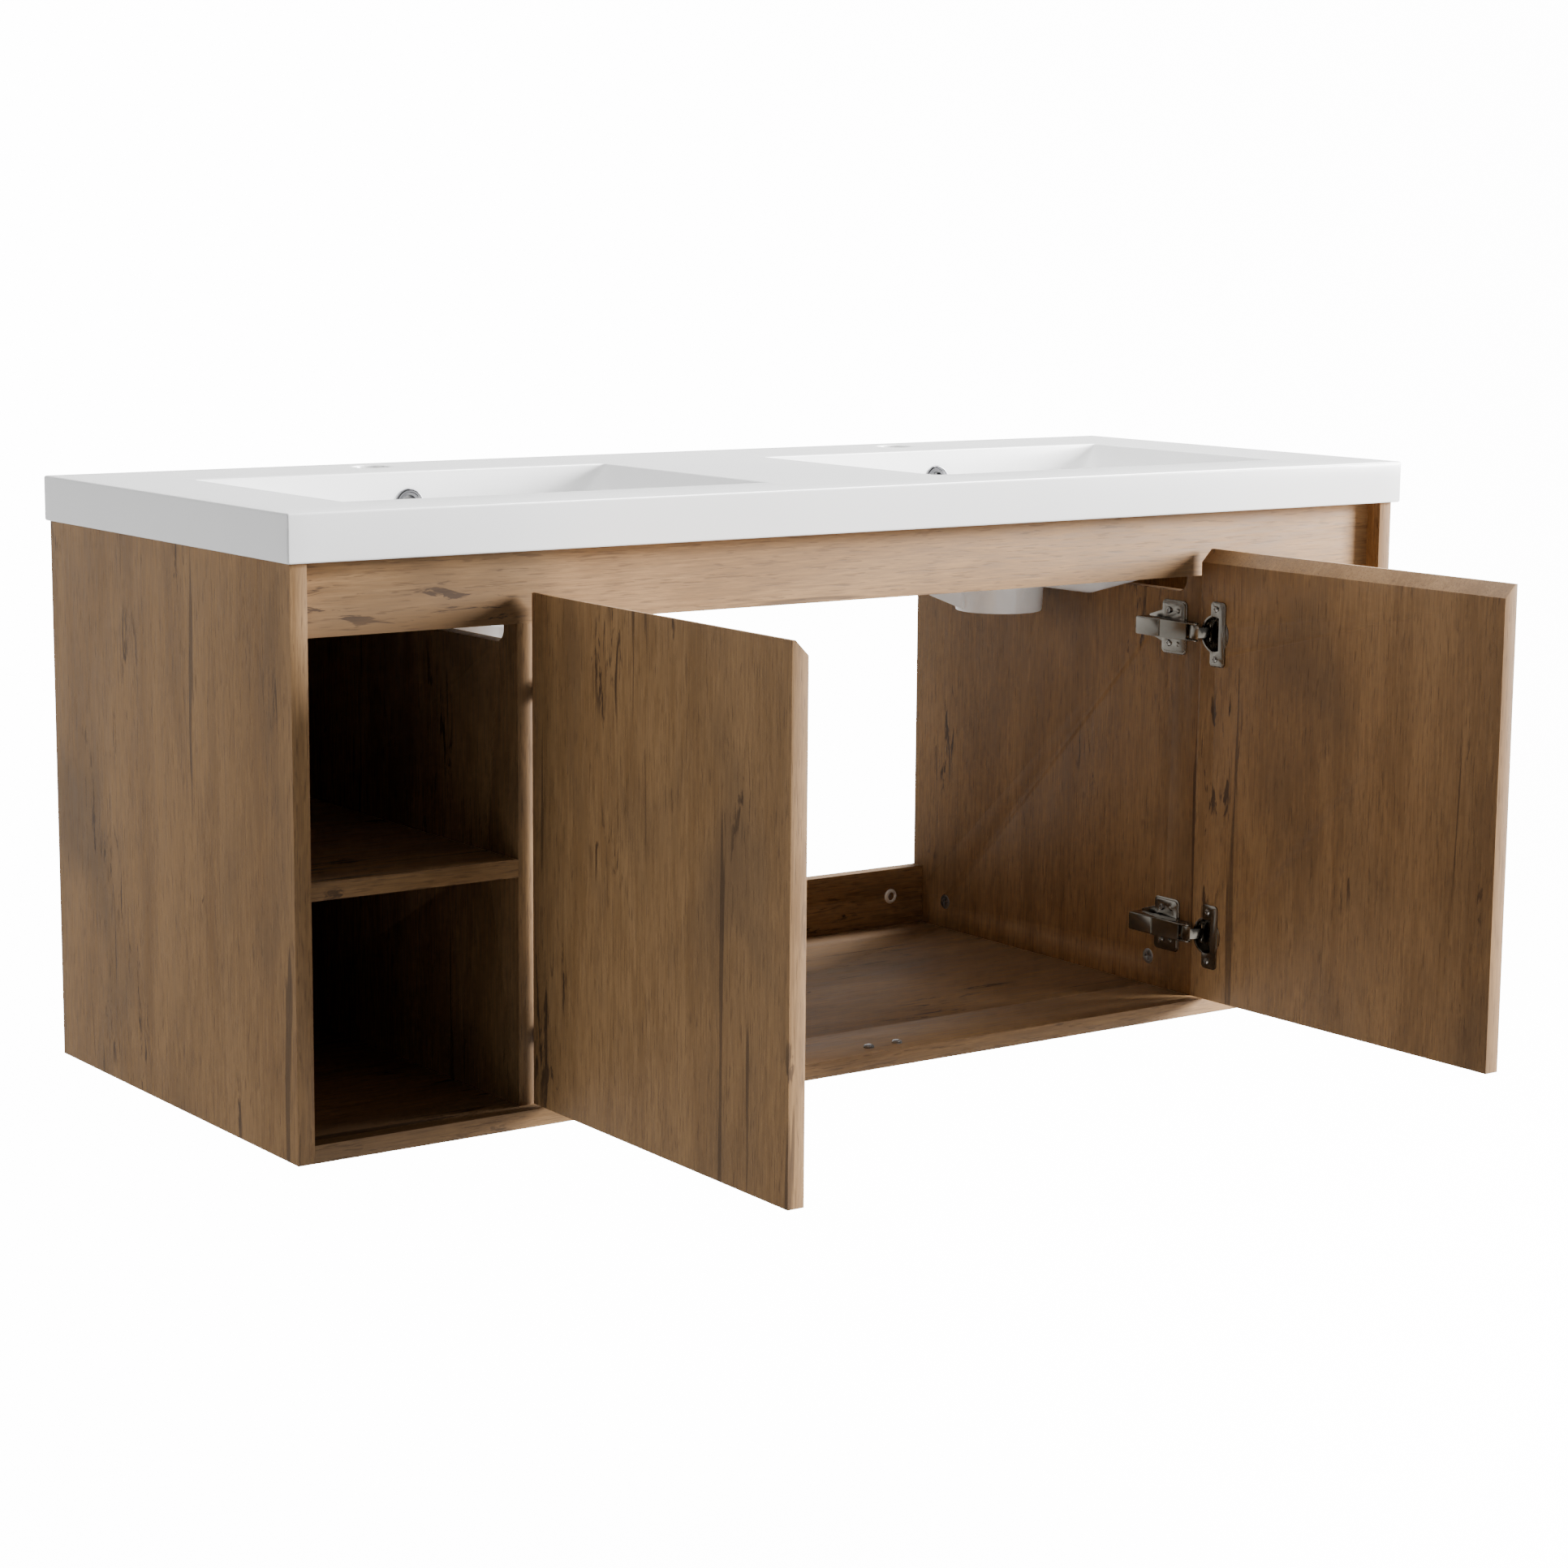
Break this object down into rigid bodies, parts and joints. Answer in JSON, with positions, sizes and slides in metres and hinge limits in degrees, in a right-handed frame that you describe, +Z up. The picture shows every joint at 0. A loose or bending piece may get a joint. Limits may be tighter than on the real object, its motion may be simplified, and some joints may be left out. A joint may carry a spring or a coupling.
{
  "type": "bathroom vanity cabinet",
  "caption": "Wall-hung vanity cabinet: a glossy cast top with basins on an oak-look cabinet with hinged doors and open shelf bays",
  "frame": {"origin": "Centre of the four wall fixing holes, on the plane of the cabinet's back, which is the wall.", "axes": "+X to the right seen from the front, +Y into the wall, +Z up."},
  "size_m": [1.22, 0.8296, 0.527],
  "materials": {
    "gelcoat": "polished white gel coat",
    "oak_laminate": "matt oak-look laminate on board",
    "chrome_ring": "polished chrome",
    "nickel": "nickel-plated stamped steel",
    "screw_steel": "zinc-plated",
    "zinc": "raw cast zinc alloy",
    "beech": "fluted beech, raw",
    "white_plastic": "satin",
    "clear_bumper": "clear soft polyurethane",
    "damper_plastic": "satin"
  },
  "bodies": {
    "cabinet": {"cast_top": "gelcoat", "overflow_ring_left": "chrome_ring", "overflow_ring_right": "chrome_ring", "end_panel_left": "oak_laminate", "end_panel_right": "oak_laminate", "floor_panel": "oak_laminate", "divider_left": "oak_laminate", "divider_right": "oak_laminate", "front_rail": "oak_laminate", "upper_back_rail": "oak_laminate", "lower_back_rail": "oak_laminate", "shelf_left": "oak_laminate", "shelf_right": "oak_laminate", "back_panel_left": "oak_laminate", "back_panel_right": "oak_laminate", "cam_locks": "zinc", "cam_bolts": "screw_steel", "dowels": "beech", "wall_washers": "white_plastic", "door_bumpers": "clear_bumper", "hinge_arm_left_upper": "nickel", "hinge_arm_left_lower": "nickel", "hinge_arm_right_upper": "nickel", "hinge_arm_right_lower": "nickel", "hinge_plate_left_upper": "nickel", "hinge_plate_left_lower": "nickel", "hinge_plate_right_upper": "nickel", "hinge_plate_right_lower": "nickel", "arm_pins": "nickel", "arm_screws": "screw_steel", "plate_screws": "screw_steel"},
    "left_door": {"door_left": "oak_laminate", "hinge_cup_left_upper": "nickel", "hinge_cup_left_lower": "nickel", "cup_pins_left": "nickel", "dampers_left": "damper_plastic", "cup_screws_left": "screw_steel"},
    "right_door": {"door_right": "oak_laminate", "hinge_cup_right_upper": "nickel", "hinge_cup_right_lower": "nickel", "cup_pins_right": "nickel", "dampers_right": "damper_plastic", "cup_screws_right": "screw_steel"},
    "left_links": {"hinge_link_left_upper": "nickel", "hinge_link_left_lower": "nickel"},
    "right_links": {"hinge_link_right_upper": "nickel", "hinge_link_right_lower": "nickel"}
  },
  "joints": [
    {"name": "left_door_hinge", "type": "hinge", "parent": "cabinet", "child": "left_door", "pos_m": [-0.375, -0.456, 0], "axis": [0, 0, -1], "range_deg": [-91, 0]},
    {"name": "right_door_hinge", "type": "hinge", "parent": "cabinet", "child": "right_door", "pos_m": [0.375, -0.456, 0], "axis": [0, 0, 1], "range_deg": [-91, 0]},
    {"name": "left_link_pivot", "type": "hinge", "parent": "cabinet", "child": "left_links", "pos_m": [-0.3585, -0.45, 0], "axis": [0, 0, -1], "range_deg": [-1, 30]},
    {"name": "right_link_pivot", "type": "hinge", "parent": "cabinet", "child": "right_links", "pos_m": [0.3585, -0.45, 0], "axis": [0, 0, 1], "range_deg": [-1, 30]}
  ],
  "couplings": [
    {"joint": "left_link_pivot", "follows": "left_door_hinge", "ratio": -0.313},
    {"joint": "right_link_pivot", "follows": "right_door_hinge", "ratio": -0.313}
  ]
}
